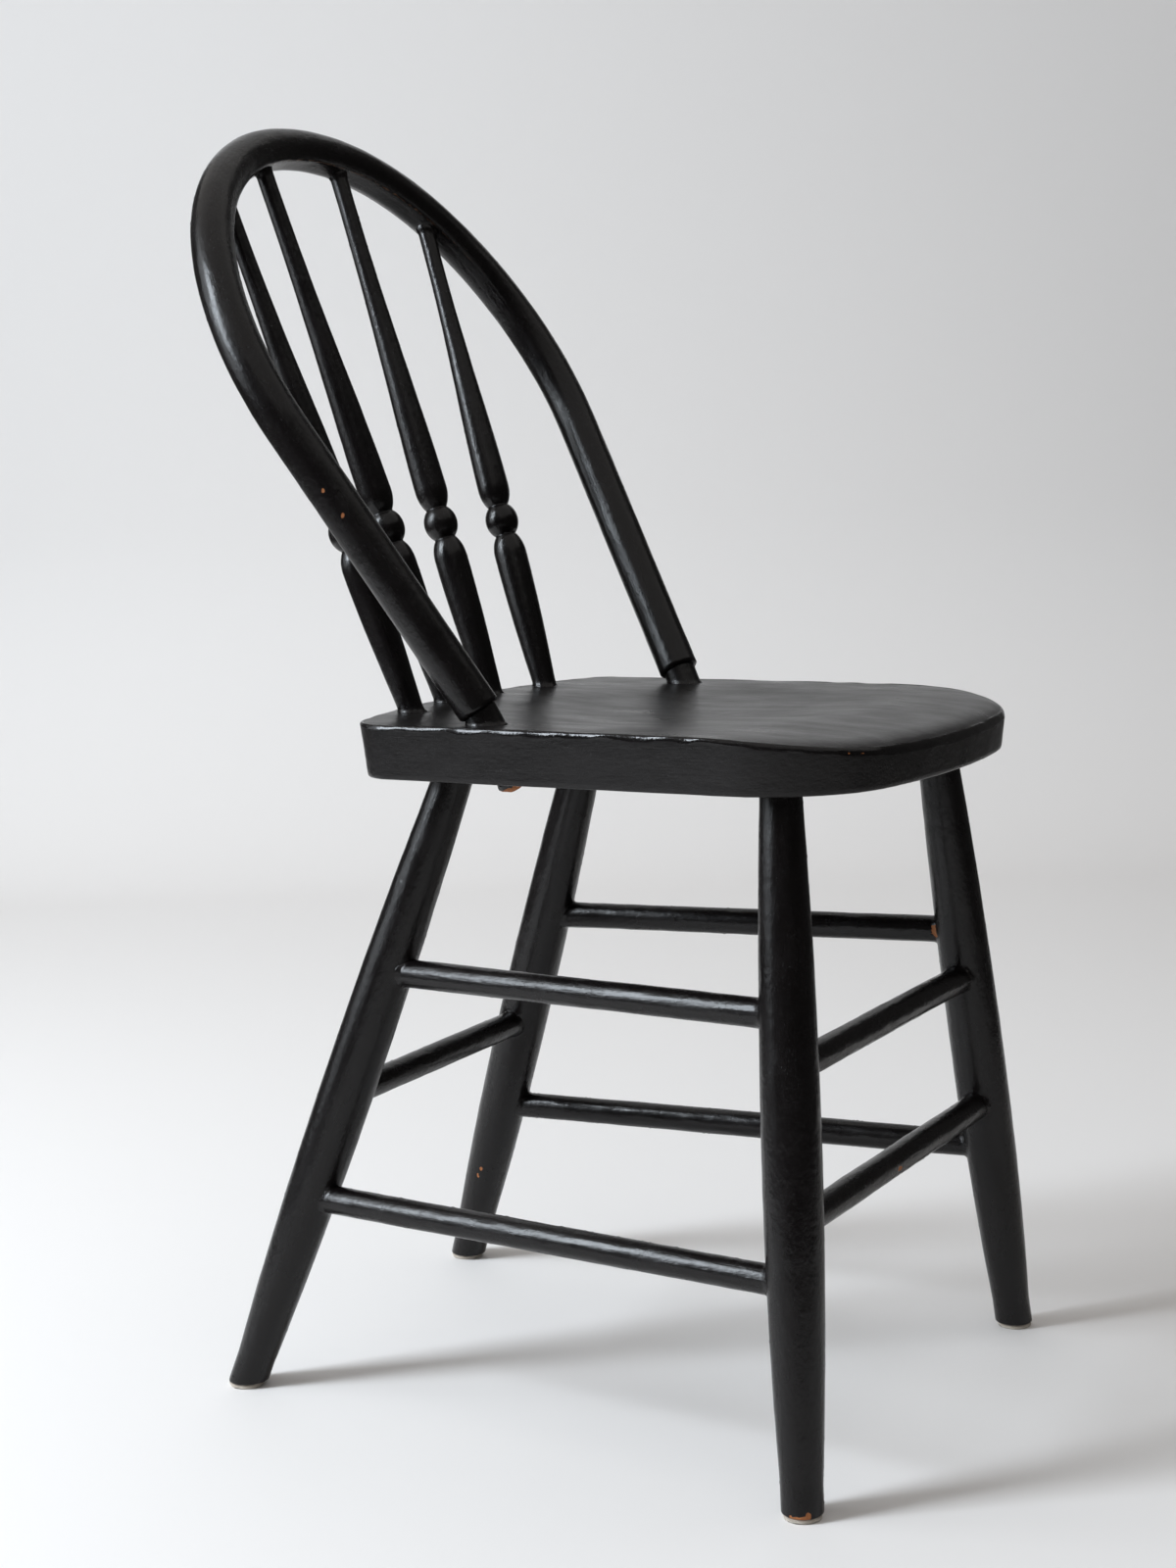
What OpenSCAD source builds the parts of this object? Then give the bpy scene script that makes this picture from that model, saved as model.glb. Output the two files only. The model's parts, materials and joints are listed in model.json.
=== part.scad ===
// Bow-back side chair: a plank seat on four raked turned legs, tied by seven plain stretchers,
// with a steam-bent bow and four turned spindles for the back.
// +Z is up, the front of the seat faces -Y, and +X is the sitter's left.

/* [Seat] */
// Height of the seat's top above the floor
seat_height = 445; // [370:1:540]
// Width of the seat
seat_w = 313; // [300:1:380]
// Depth of the seat, from the middle of the front edge to the middle of the rear edge
seat_d = 368; // [350:1:445]
// Thickness of the plank
seat_t = 34; // [30:0.5:45]
// How much further out the top edge stands than the bottom edge
seat_undercut = 4; // [0:0.5:8]
// How much the front edge bows forward
front_bulge = 24; // [10:1:32]
// How much the rear edge bows backward
rear_bulge = 29; // [10:1:36]
// Corner radius at the front
front_corner_r = 81; // [50:1:95]
// Corner radius at the rear
rear_corner_r = 31; // [20:1:45]
// How far the top drops where it rolls over to the front edge
front_roll_drop = 13; // [6:0.5:15]
// Length of the rolled part of the top, back from the front edge
front_roll_l = 117; // [80:1:130]
// Depth of the hollow in the seat's top
dish_depth = 5; // [2:0.5:8]
// Radius of the hollow in the seat's top
dish_r = 122; // [80:1:130]

/* [Legs] */
// Half the spacing of the front legs where they meet the seat's underside
front_top_x = 120; // [105:1:130]
// Distance of the front legs behind the seat's front edge, at the underside
front_top_back = 67; // [60:0.5:100]
// How far each front foot stands out sideways from its top
front_splay = 55.5; // [30:0.5:90]
// How far each front foot stands forward of its top
front_rake = 32; // [10:1:60]
// Half the spacing of the rear legs where they meet the seat's underside
rear_top_x = 85.5; // [70:0.5:110]
// Distance of the rear legs ahead of the seat's rear edge, at the underside
rear_top_ahead = 58.5; // [55:0.5:100]
// How far each rear foot stands out sideways from its top
rear_splay = 59; // [30:0.5:90]
// How far each rear foot stands behind its top
rear_rake = 152; // [80:1:180]
// How much less the right rear leg rakes than the left
rear_right_short = 8.5; // [0:0.5:15]
// Diameter of the leg where it enters the seat
leg_top_d = 25; // [20:0.5:30]
// Diameter of the leg at its widest
leg_max_d = 35; // [30:0.5:42]
// Diameter of the leg at the foot
leg_foot_d = 25; // [20:0.5:30]
// Share of the leg's length, from the seat, at which it is widest
leg_belly = 0.53; // [0.4:0.01:0.6]
// Length of the plain end of the leg above the floor
leg_foot_l = 20; // [10:1:40]
// Depth of the leg's socket in the seat
leg_socket = 22; // [15:0.5:24]
// Thickness of the felt pad under each foot
pad_t = 3; // [2:0.5:5]
// Diameter of the felt pad
pad_d = 23; // [18:0.5:24]

/* [Stretchers] */
// Diameter of the stretchers
stretcher_d = 18; // [14:0.1:21.6]
// Height at which the upper side stretchers meet the front legs
side_upper_front_z = 283; // [270:1:300]
// Height at which the upper side stretchers meet the rear legs
side_upper_rear_z = 279; // [260:1:300]
// Height at which the lower side stretchers meet the front legs
side_lower_front_z = 131; // [110:1:138]
// Height at which the lower side stretchers meet the rear legs
side_lower_rear_z = 129; // [100:1:150]
// Height of the upper front stretcher
front_upper_z = 252; // [230:1:255]
// Height of the lower front stretcher
front_lower_z = 163; // [158:1:180]
// Height of the rear stretcher
rear_z = 197; // [180:1:230]
// Distance from a leg's axis to the end of a stretcher inside it
stretcher_end = 3; // [1:0.5:5]

/* [Bow] */
// Height of the bow's centre line above the seat, along its rake
bow_h = 426; // [340:1:520]
// Half the greatest width of the bow, to its centre line
bow_half_w = 181; // [160:1:215]
// Half the spacing of the bow's feet at the seat
bow_foot_x = 130; // [110:1:140]
// Distance of the bow's feet behind the seat's front edge
bow_foot_back = 257; // [225:0.5:270]
// Rake of the bow, in degrees from upright
bow_rake = 30.5; // [15:0.5:35]
// Diameter of the bow
bow_d = 27; // [26.5:0.5:31]
// Distance from the bow's centre line to its flat inner face
bow_flat = 12.5; // [9:0.5:13]
// How much flatter the crown is than the haunches, as extra radius
crown_extra_r = 23; // [10:1:60]
// Sideways offset of the haunches' centres from the middle
haunch_offset = 3; // [1:0.5:8]
// Height above the seat, along the rake, of the shoulder where the tenon starts
bow_shoulder = 9.5; // [9:0.5:30]
// Diameter of the bow's tenon
bow_tenon_d = 22; // [18:0.5:24]
// Rake of the bow's tenon, in degrees from upright
bow_tenon_rake = 26; // [10:0.5:32]
// Sideways lean of the bow's tenon, in degrees
bow_tenon_lean = 8; // [0:0.5:15]
// How far the bow's tenon stands out below the seat
bow_tenon_proud = 5.5; // [0:0.5:8]

/* [Spindles] */
// Sideways places of the spindles at the seat, from the sitter's right
spindle_foot_x = [-85, -25.5, 29.5, 83.5]; // four values from -95 to 95
// Sideways places of the spindles at the bow, from the sitter's right
spindle_head_x = [-114, -51, 38, 117]; // four values from -125 to 125
// Distance of the two middle spindles ahead of the seat's rear edge
spindle_inset = 15; // [12:0.5:24]
// How much further ahead the two outer spindles stand
spindle_sweep = 11; // [0:0.5:20]
// Diameter of a spindle at the seat
spindle_foot_d = 16; // [12:0.1:19.2]
// Diameter of a spindle at the bow
spindle_head_d = 11.5; // [8:0.5:12]
// Greatest diameter of the vase below the bead
vase_d = 22.5; // [20:0.5:25]
// Greatest diameter of the swell above the bead
swell_d = 22; // [20:0.5:25]
// Diameter of the bead
bead_d = 23; // [20:0.5:25]
// Length of the bead
bead_l = 21; // [15:0.5:24]
// Height of the bead's middle above the seat, along the spindle
bead_h = 121; // [100:1:150]
// Diameter of the two necks beside the bead
neck_d = 14; // [12:0.5:17]
// Depth of a spindle's socket in the seat
spindle_socket = 18; // [12:0.5:22]
// Depth of a spindle's head in the bow, past the bow's centre line
spindle_head_in = 1; // [-3:0.5:4]

/* [Fits] */
// Gap for glue all round a tenon in its socket
glue_gap = 0.08; // [0.05:0.01:0.2]
// Gap between the end of a tenon and the floor of its socket
end_gap = 0.6; // [0.3:0.1:1]

/* [Hidden] */
$fn = 96;
paint = "#17181a";
felt = "#b9ad98";
right = -1;
left = 1;

// How far a shape that cuts runs past what it cuts
past = 20;
// Steps along the seat's corners and edges, the front roll and the hollow
corner_steps = 10;
edge_steps = 16;
roll_steps = 12;
dish_steps = 12;
// Steps round the bow's section, and along each haunch and half of the crown
section_steps = 22;
haunch_steps = 28;
crown_steps = 3;
// How far the bow's tenon starts inside the limb
tenon_root = 4;
// How far a turning stays plain past the mouth of its socket
mouth_clear = 1;
// Steps along a leg
leg_steps = 28;
// Steps along a spindle's vase and its taper, and round its bead
vase_steps = 10;
taper_steps = 12;
bead_steps = 16;
// Steps round each shoulder beside the bead
shoulder_steps = 6;
// Length of a spindle's shoulders, from the neck to the widest place
shoulder_l = 14;
// Length of a spindle's plain end below the bow
plain_head = 34;
// How soon the upper taper leaves the swell: less is sooner
taper_power = 0.8;

// Everything is first measured from the middle of the seat's front edge, and then moved back
// so that the chair's box is centred on the origin.
seat_bottom = seat_height - seat_t;
seat_lean = seat_undercut / seat_t;
rear_foot_back = seat_d - rear_top_ahead + rear_rake;
bow_crown_back = bow_foot_back + bow_h * sin(bow_rake) + bow_d / 2;
chair_back = max(bow_crown_back, rear_foot_back + leg_foot_d / 2);
chair_front = min(seat_lean * front_roll_drop, front_top_back - front_rake - leg_foot_d / 2);
front_y = -(chair_back + chair_front) / 2;
rear_y = front_y + seat_d;

function unit(v) = v / norm(v);
function at_height(a, b, z) = a + (b - a) * (z - a.z) / (b.z - a.z);

// Leg axes: from the seat's underside to the floor
function front_leg_top(side) = [side * front_top_x, front_y + front_top_back, seat_bottom];
function front_leg_foot(side) =
    [side * (front_top_x + front_splay), front_y + front_top_back - front_rake, 0];
function rear_leg_top(side) = [side * rear_top_x, rear_y - rear_top_ahead, seat_bottom];
function rear_leg_foot(side) =
    [
        side * (rear_top_x + rear_splay),
        rear_y - rear_top_ahead + rear_rake - (side == right ? rear_right_short : 0),
        0
    ];
function on_front_leg(side, z) = at_height(front_leg_top(side), front_leg_foot(side), z);
function on_rear_leg(side, z) = at_height(rear_leg_top(side), rear_leg_foot(side), z);

// Bow centre line in its own plane: x sideways, y up along the rake from the seat's top
haunch_r = bow_half_w - haunch_offset;
crown_r = haunch_r + crown_extra_r;
crown_half = asin(haunch_offset / crown_extra_r);
crown_c = [0, bow_h - crown_r];
haunch_c = [haunch_offset, crown_c.y + crown_extra_r * cos(crown_half)];
foot_to_haunch = haunch_c - [bow_foot_x, 0];
foot_dist = norm(foot_to_haunch);
limb_angle = atan2(foot_to_haunch.y, foot_to_haunch.x) - asin(haunch_r / foot_dist);
limb_l = sqrt(foot_dist * foot_dist - haunch_r * haunch_r);
haunch_turn = 180 - crown_half - limb_angle;
function bow_rise(x) =
    abs(x) < crown_r * sin(crown_half)
        ? crown_c.y + sqrt(crown_r * crown_r - x * x)
        : haunch_c.y + sqrt(haunch_r * haunch_r - pow(abs(x) - haunch_c.x, 2));
bow_foot_y = front_y + bow_foot_back;
function from_bow_plane(p) =
    [p.x, bow_foot_y + p.y * sin(bow_rake), seat_height + p.y * cos(bow_rake)];

// The bow's tenons start in the middle of the limb at the shoulder, and run down through the seat
function tenon_start(side) =
    from_bow_plane([
        side * (bow_foot_x + bow_shoulder * cos(limb_angle)),
        bow_shoulder * sin(limb_angle)
    ]);
function tenon_run(side) =
    unit([-side * tan(bow_tenon_lean), -tan(bow_tenon_rake), -1]);
function tenon_length(side) =
    (tenon_start(side).z - seat_bottom + bow_tenon_proud) / -tenon_run(side).z;

// Spindle axes: from the seat's top to the bow's centre line
function spindle_foot(i) = [
    spindle_foot_x[i],
    rear_y - spindle_inset - (i == 0 || i == 3 ? spindle_sweep : 0),
    seat_height
];
function spindle_head(i) = from_bow_plane([spindle_head_x[i], bow_rise(spindle_head_x[i])]);

// Places children with their Z axis running from a towards b, starting at a
module along(a, b) {
    v = b - a;
    translate(a)
        rotate([0, acos(v.z / norm(v)), atan2(v.y, v.x)])
            children();
}

// Length that a raked round end of diameter d, from a towards b, stays plain to clear its socket's
// mouth
function plain_end(a, b, d) =
    let (v = b - a)
        mouth_clear + d / 2 * norm([v.x, v.y]) / abs(v.z);

// A round socket from point a, running back_off the other way and depth towards b. The quarter
// turn keeps the start of its wall off the line that it leans along.
module socket(a, b, d, depth, back_off) {
    along(a, b)
        translate([0, 0, -back_off])
            rotate(90)
                cylinder(d = d + 2 * glue_gap, h = depth + back_off + end_gap);
}

// Points of an arc about c, from angle a0 to a1 in n steps, less skip points at each end
function arc(c, r, a0, a1, n, skip = 0) = [
    for (i = [skip:n - skip])
        c + r * [cos(a0 + (a1 - a0) * i / n), sin(a0 + (a1 - a0) * i / n)]
];

// One end of the seat's outline, from its left side to its right: a corner, a shallow arc and a
// corner. sense is 1 at the rear and -1 at the front, and inset moves the whole line inwards.
function seat_end(edge_y, corner_r, bulge, sense, inset) =
    let (
        half = seat_w / 2,
        end_r = (half * half + bulge * bulge) / (2 * bulge),
        end_c = [0, edge_y - sense * end_r],
        corner_x = half - corner_r,
        rise = sqrt(pow(end_r - corner_r, 2) - corner_x * corner_x),
        corner_y = end_c.y + sense * rise,
        turn = sense * atan2(rise, corner_x)
    )
    concat(
        arc([corner_x, corner_y], corner_r - inset, 0, turn, corner_steps),
        arc(end_c, end_r - inset, turn, sense * 180 - turn, edge_steps, 1),
        arc([-corner_x, corner_y], corner_r - inset, sense * 180 - turn, sense * 180,
            corner_steps)
    );
function reversed(list) = [for (i = [len(list) - 1:-1:0]) list[i]];
function seat_outline(inset) = concat(
    seat_end(rear_y, rear_corner_r, rear_bulge, 1, inset),
    reversed(seat_end(front_y, front_corner_r, front_bulge, -1, inset))
);

// Faces of a skin that joins rings of n points, one after another, and closes both ends
function skin_faces(n, rings) = concat(
    [[for (i = [n - 1:-1:0]) i]],
    [
        for (k = [0:rings - 2], i = [0:n - 1])
            let (j = (i + 1) % n)
                [n * k + j, n * k + n + j, n * k + n + i, n * k + i]
    ],
    [[for (i = [0:n - 1]) n * (rings - 1) + i]]
);

// A thin slice of the seat's outline at height z
module seat_slice(z, inset) {
    translate([0, 0, z])
        linear_extrude(1)
            polygon(seat_outline(inset));
}

// The plank: sides that lean, cut flat above and below
module seat_blank() {
    intersection() {
        translate([-seat_w, front_y - seat_d, seat_bottom])
            cube([2 * seat_w, 3 * seat_d, seat_t]);
        hull() {
            seat_slice(seat_bottom - past, seat_undercut + seat_lean * past);
            seat_slice(seat_height + past, -seat_lean * past);
        }
    }
}

// The front of the top rolls over in one long arc
module front_roll() {
    roll_r = (front_roll_l * front_roll_l + front_roll_drop * front_roll_drop)
        / (2 * front_roll_drop);
    start_y = front_y + front_roll_l;
    sweep = asin(front_roll_l / roll_r);
    translate([-seat_w, 0, 0])
        rotate([90, 0, 90])
            linear_extrude(2 * seat_w)
                polygon(concat(
                    arc([start_y, seat_height - roll_r], roll_r, 90 + sweep, 90, roll_steps),
                    [
                        [start_y, seat_height + past],
                        [front_y - past, seat_height + past],
                        [front_y - past, seat_height - front_roll_drop]
                    ]
                ));
}

// The shallow hollow that the sitter sits in, part of a large ball
module dish() {
    ball_r = (dish_r * dish_r + dish_depth * dish_depth) / (2 * dish_depth);
    step = asin(dish_r / ball_r) / dish_steps;
    last = dish_steps + 2;
    function rise(i) = ball_r * (1 - cos(step * i)) - dish_depth;
    translate([0, front_y + front_roll_l / 2 + dish_r, seat_height])
        rotate_extrude()
            polygon(concat(
                [[0, rise(last)], [0, rise(1)]],
                [for (i = [1:last]) [ball_r * sin(step * i), rise(i)]]
            ));
}

module seat() {
    color(paint)
        difference() {
            seat_blank();
            front_roll();
            dish();
            for (side = [right, left]) {
                socket(front_leg_top(side), 2 * front_leg_top(side) - front_leg_foot(side),
                    leg_top_d, leg_socket, past);
                socket(rear_leg_top(side), 2 * rear_leg_top(side) - rear_leg_foot(side),
                    leg_top_d, leg_socket, past);
                socket(tenon_start(side), tenon_start(side) + tenon_run(side),
                    bow_tenon_d, tenon_length(side) + past, 0);
            }
            for (i = [0:3])
                socket(spindle_foot(i), 2 * spindle_foot(i) - spindle_head(i),
                    spindle_foot_d, spindle_socket, past);
        }
}

// Section of the bow: round, with a flat towards its inner side, which faces -X
flat_half = acos(bow_flat / (bow_d / 2));
bow_section = arc([0, 0], bow_d / 2, flat_half - 180, 180 - flat_half, section_steps);

// Stations of one half of the bow in its plane: [point, direction that the outside faces]
function bow_half(side) = [
    for (s = concat(
        [[
            [bow_foot_x, 0] + bow_shoulder * [cos(limb_angle), sin(limb_angle)],
            limb_angle - 90
        ]],
        [
            for (i = [0:haunch_steps])
                let (a = limb_angle - 90 + haunch_turn * i / haunch_steps)
                    [haunch_c + haunch_r * [cos(a), sin(a)], a]
        ],
        [
            for (i = [1:crown_steps - 1])
                let (a = 90 - crown_half + crown_half * i / crown_steps)
                    [crown_c + crown_r * [cos(a), sin(a)], a]
        ]
    ))
        side > 0 ? s : [[-s[0].x, s[0].y], 180 - s[1]]
];
bow_stations = concat(
    bow_half(left),
    [[crown_c + [0, crown_r], 90]],
    reversed(bow_half(right))
);

// The bent part of the bow, in its plane, from shoulder to shoulder
module bow_bend() {
    polyhedron(
        points = [
            for (s = bow_stations, p = bow_section)
                [s[0].x + p.x * cos(s[1]), s[0].y + p.x * sin(s[1]), p.y]
        ],
        faces = skin_faces(len(bow_section), len(bow_stations))
    );
}

module bow() {
    color(paint)
        difference() {
            union() {
                translate([0, bow_foot_y, seat_height])
                    rotate([90 - bow_rake, 0, 0])
                        bow_bend();
                for (side = [right, left])
                    along(tenon_start(side), tenon_start(side) + tenon_run(side))
                        translate([0, 0, -tenon_root])
                            cylinder(d = bow_tenon_d, h = tenon_length(side) + tenon_root);
            }
            for (i = [0:3])
                socket(spindle_head(i), 2 * spindle_head(i) - spindle_foot(i),
                    spindle_head_d, spindle_head_in, bow_d);
        }
}

// A point on the side of a ball of diameter d at height z, which narrows to the neck over a length.
// share is 0 at the ball's widest, and 1 or -1 at a neck.
function ball_point(d, z, length, share) =
    let (neck_turn = acos(neck_d / d))
        [d / 2 * cos(share * neck_turn), z + length * sin(share * neck_turn) / sin(neck_turn)];

// One turned spindle, standing on z = 0 where it enters the seat, up to its head at z = l. It is
// plain up to z = plain_foot.
module spindle_turning(l, plain_foot) {
    neck_low = bead_h - bead_l / 2;
    neck_high = bead_h + bead_l / 2;
    vase_h = neck_low - shoulder_l;
    swell_h = neck_high + shoulder_l;
    rotate_extrude()
        polygon(concat(
            [[0, -spindle_socket], [spindle_foot_d / 2, -spindle_socket]],
            [
                for (i = [0:vase_steps])
                    let (s = i / vase_steps)
                        [
                            spindle_foot_d / 2 + (vase_d - spindle_foot_d) / 2 * sin(90 * s),
                            plain_foot + (vase_h - plain_foot) * s
                        ]
            ],
            [
                for (i = [1:shoulder_steps])
                    ball_point(vase_d, vase_h, shoulder_l, i / shoulder_steps)
            ],
            [
                for (i = [1:bead_steps - 1])
                    ball_point(bead_d, bead_h, bead_l / 2, 2 * i / bead_steps - 1)
            ],
            [
                for (i = [shoulder_steps:-1:1])
                    ball_point(swell_d, swell_h, -shoulder_l, i / shoulder_steps)
            ],
            [
                for (i = [0:taper_steps])
                    let (s = i / taper_steps)
                        [
                            spindle_head_d / 2
                                + (swell_d - spindle_head_d) / 4
                                    * (1 + cos(180 * pow(s, taper_power))),
                            swell_h + (l - plain_head - swell_h) * s
                        ]
            ],
            [[spindle_head_d / 2, l], [0, l]]
        ));
}

module spindle(i) {
    color(paint)
        along(spindle_foot(i), spindle_head(i))
            spindle_turning(
                norm(spindle_head(i) - spindle_foot(i)) + spindle_head_in,
                plain_end(spindle_foot(i), spindle_head(i), spindle_foot_d)
            );
}

// One turned leg, from its end in the seat at z = -leg_socket down its length l to the floor. It is
// plain down to z = plain_top.
module leg_turning(l, plain_top) {
    belly = l * leg_belly;
    plain = l - leg_foot_l;
    function swell(z) =
        z < belly
            ? leg_max_d - (leg_max_d - leg_top_d) * pow((belly - z) / (belly - plain_top), 2)
            : leg_max_d - (leg_max_d - leg_foot_d) * pow((z - belly) / (plain - belly), 2);
    rotate_extrude()
        polygon(concat(
            [[0, -leg_socket], [leg_top_d / 2, -leg_socket]],
            [
                for (i = [0:leg_steps])
                    let (z = plain_top + (plain - plain_top) * i / leg_steps)
                        [swell(z) / 2, z]
            ],
            [[leg_foot_d / 2, l + past], [0, l + past]]
        ));
}

// A leg with its mortises; stretchers is a list of [this end, far end] points
module leg(top, foot, stretchers) {
    color(paint)
        difference() {
            along(top, foot)
                leg_turning(norm(foot - top), plain_end(top, foot, leg_top_d));
            translate([foot.x - leg_max_d, foot.y - leg_max_d, pad_t - 2 * past])
                cube([2 * leg_max_d, 2 * leg_max_d, 2 * past]);
            for (s = stretchers)
                along(s[0], s[1])
                    translate([0, 0, stretcher_end - end_gap])
                        cylinder(d = stretcher_d + 2 * glue_gap, h = leg_max_d);
        }
}

module front_leg(side) {
    leg(front_leg_top(side), front_leg_foot(side), [
        [on_front_leg(side, side_upper_front_z), on_rear_leg(side, side_upper_rear_z)],
        [on_front_leg(side, side_lower_front_z), on_rear_leg(side, side_lower_rear_z)],
        [on_front_leg(side, front_upper_z), on_front_leg(-side, front_upper_z)],
        [on_front_leg(side, front_lower_z), on_front_leg(-side, front_lower_z)]
    ]);
}

module rear_leg(side) {
    leg(rear_leg_top(side), rear_leg_foot(side), [
        [on_rear_leg(side, side_upper_rear_z), on_front_leg(side, side_upper_front_z)],
        [on_rear_leg(side, side_lower_rear_z), on_front_leg(side, side_lower_front_z)],
        [on_rear_leg(side, rear_z), on_rear_leg(-side, rear_z)]
    ]);
}

// A plain round stretcher between two points on the legs' axes
module stretcher(a, b) {
    color(paint)
        along(a, b)
            translate([0, 0, stretcher_end])
                cylinder(d = stretcher_d, h = norm(b - a) - 2 * stretcher_end);
}

module pad(foot) {
    color(felt)
        translate([foot.x, foot.y, 0])
            cylinder(d = pad_d, h = pad_t);
}

seat();
bow();
spindle(0);  // spindle_right_outer
spindle(1);  // spindle_right_inner
spindle(2);  // spindle_left_inner
spindle(3);  // spindle_left_outer
front_leg(right);  // leg_front_right
front_leg(left);  // leg_front_left
rear_leg(right);  // leg_rear_right
rear_leg(left);  // leg_rear_left
stretcher(on_front_leg(right, side_upper_front_z), on_rear_leg(right, side_upper_rear_z));  // stretcher_side_upper_right
stretcher(on_front_leg(left, side_upper_front_z), on_rear_leg(left, side_upper_rear_z));  // stretcher_side_upper_left
stretcher(on_front_leg(right, side_lower_front_z), on_rear_leg(right, side_lower_rear_z));  // stretcher_side_lower_right
stretcher(on_front_leg(left, side_lower_front_z), on_rear_leg(left, side_lower_rear_z));  // stretcher_side_lower_left
stretcher(on_front_leg(right, front_upper_z), on_front_leg(left, front_upper_z));  // stretcher_front_upper
stretcher(on_front_leg(right, front_lower_z), on_front_leg(left, front_lower_z));  // stretcher_front_lower
stretcher(on_rear_leg(right, rear_z), on_rear_leg(left, rear_z));  // stretcher_rear
pad(front_leg_foot(right));  // pad_front_right
pad(front_leg_foot(left));  // pad_front_left
pad(rear_leg_foot(right));  // pad_rear_right
pad(rear_leg_foot(left));  // pad_rear_left
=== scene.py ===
import json
import math
import bpy
import numpy as np
from mathutils import Matrix, Vector


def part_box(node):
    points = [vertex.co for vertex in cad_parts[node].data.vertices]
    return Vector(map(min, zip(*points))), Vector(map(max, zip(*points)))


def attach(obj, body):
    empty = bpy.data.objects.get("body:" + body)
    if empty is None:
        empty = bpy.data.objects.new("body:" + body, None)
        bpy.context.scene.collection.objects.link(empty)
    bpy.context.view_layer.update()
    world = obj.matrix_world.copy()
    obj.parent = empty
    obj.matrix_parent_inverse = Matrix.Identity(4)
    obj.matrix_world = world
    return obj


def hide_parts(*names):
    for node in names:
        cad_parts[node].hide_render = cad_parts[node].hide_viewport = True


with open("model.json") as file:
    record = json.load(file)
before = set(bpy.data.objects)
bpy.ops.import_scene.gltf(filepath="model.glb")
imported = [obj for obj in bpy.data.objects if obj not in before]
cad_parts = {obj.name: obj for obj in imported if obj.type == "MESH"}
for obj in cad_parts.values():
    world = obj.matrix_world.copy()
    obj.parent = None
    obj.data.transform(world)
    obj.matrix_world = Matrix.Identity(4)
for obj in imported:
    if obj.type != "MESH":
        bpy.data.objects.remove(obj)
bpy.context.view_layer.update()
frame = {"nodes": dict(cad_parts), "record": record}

# Sizes in metres. +Z is up, the front of the seat faces -Y, and +X is the sitter's left.
MM = 0.001
RIGHT, LEFT = -1, 1

# The seat, as the CAD has it
SEAT_LOW, SEAT_HIGH = (Vector(v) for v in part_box("seat"))
SEAT_TOP = SEAT_HIGH.z
SEAT_BOTTOM = SEAT_LOW.z
SEAT_HALF_W = 156.5 * MM
SEAT_D = 368 * MM
SEAT_UNDERCUT = 4 * MM
FRONT_BULGE, REAR_BULGE = 24 * MM, 29 * MM
FRONT_CORNER, REAR_CORNER = 81 * MM, 31 * MM
ROLL_DROP, ROLL_L = 13 * MM, 117 * MM
# Of that drop, this much comes close to the edge, where the top turns over more steeply
FRONT_ROUND, FRONT_ROUND_L = 5.5 * MM, 20 * MM
DISH_DEPTH, DISH_R = 5 * MM, 122 * MM
REAR_Y = SEAT_HIGH.y
FRONT_Y = REAR_Y - SEAT_D
DISH_Y = FRONT_Y + ROLL_L / 2 + DISH_R

# The bow, as the CAD has it
BOW_H, BOW_HALF_W, BOW_FOOT_X = 426 * MM, 181 * MM, 130 * MM
BOW_FOOT_Y = FRONT_Y + 257 * MM
BOW_RAKE = math.radians(30.5)
BOW_R, BOW_FLAT = 13.5 * MM, 12.3 * MM
# The flat fades out down the limbs
LIMB_FLAT = 13.35 * MM
CROWN_EXTRA, HAUNCH_OFFSET = 23 * MM, 3 * MM
BOW_SHOULDER = 9.5 * MM
TENON_R, TENON_PROUD = 11 * MM, 5.5 * MM
TENON_RAKE, TENON_LEAN = math.radians(26), math.radians(8)

LEGS = ["leg_front_right", "leg_front_left", "leg_rear_right", "leg_rear_left"]
SPINDLES = ["spindle_right_outer", "spindle_right_inner", "spindle_left_inner", "spindle_left_outer"]
# Each stretcher, and the legs that it joins
STRETCHERS = {
    "stretcher_side_upper_right": ("leg_front_right", "leg_rear_right"),
    "stretcher_side_upper_left": ("leg_front_left", "leg_rear_left"),
    "stretcher_side_lower_right": ("leg_front_right", "leg_rear_right"),
    "stretcher_side_lower_left": ("leg_front_left", "leg_rear_left"),
    "stretcher_front_upper": ("leg_front_right", "leg_front_left"),
    "stretcher_front_lower": ("leg_front_right", "leg_front_left"),
    "stretcher_rear": ("leg_rear_right", "leg_rear_left"),
}
PAD_LOW, PAD_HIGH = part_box("pad_front_right")
FOOT_Z = PAD_HIGH.z

# Points round each ring, and the distance from one ring to the next
LEG_SIDES, LEG_STEP, LEG_FOOT_STEP = 92, 1.55 * MM, 0.4 * MM
STRETCHER_SIDES, STRETCHER_STEP = 72, 1.35 * MM
SPINDLE_SIDES, SPINDLE_STEP, SPINDLE_BEAD_STEP = 72, 1.4 * MM, 0.5 * MM
BOW_SIDES, BOW_STEP, BOW_LINE_STEP = 96, 1.7 * MM, 4 * MM
TENON_SIDES, PAD_SIDES = 60, 96
# Points along the seat's outline: at a corner, an end and a side
SEAT_COUNTS = (44, 90, 76)

# Wear on the forms. The rubbed top edge of the seat is about this round, and leans in by this share.
ARRIS_R, ARRIS_LEAN = 2.7 * MM, 0.62
SEAT_FOOT_R = 1.5 * MM
# Rounding of the bow's shoulders, and how crisp the edges of its flat are
SHOULDER_R, BOW_EDGE_POWER = 1.6 * MM, 60.0
PAD_EDGE_R, PAD_EDGE_TURN = 0.9 * MM, 80
# The bow's left haunch was bent a little fuller than its right
HAUNCH_SWELL, HAUNCH_SWELL_AT, HAUNCH_SWELL_WIDE = 1.8 * MM, 1.0, 0.42

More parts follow.
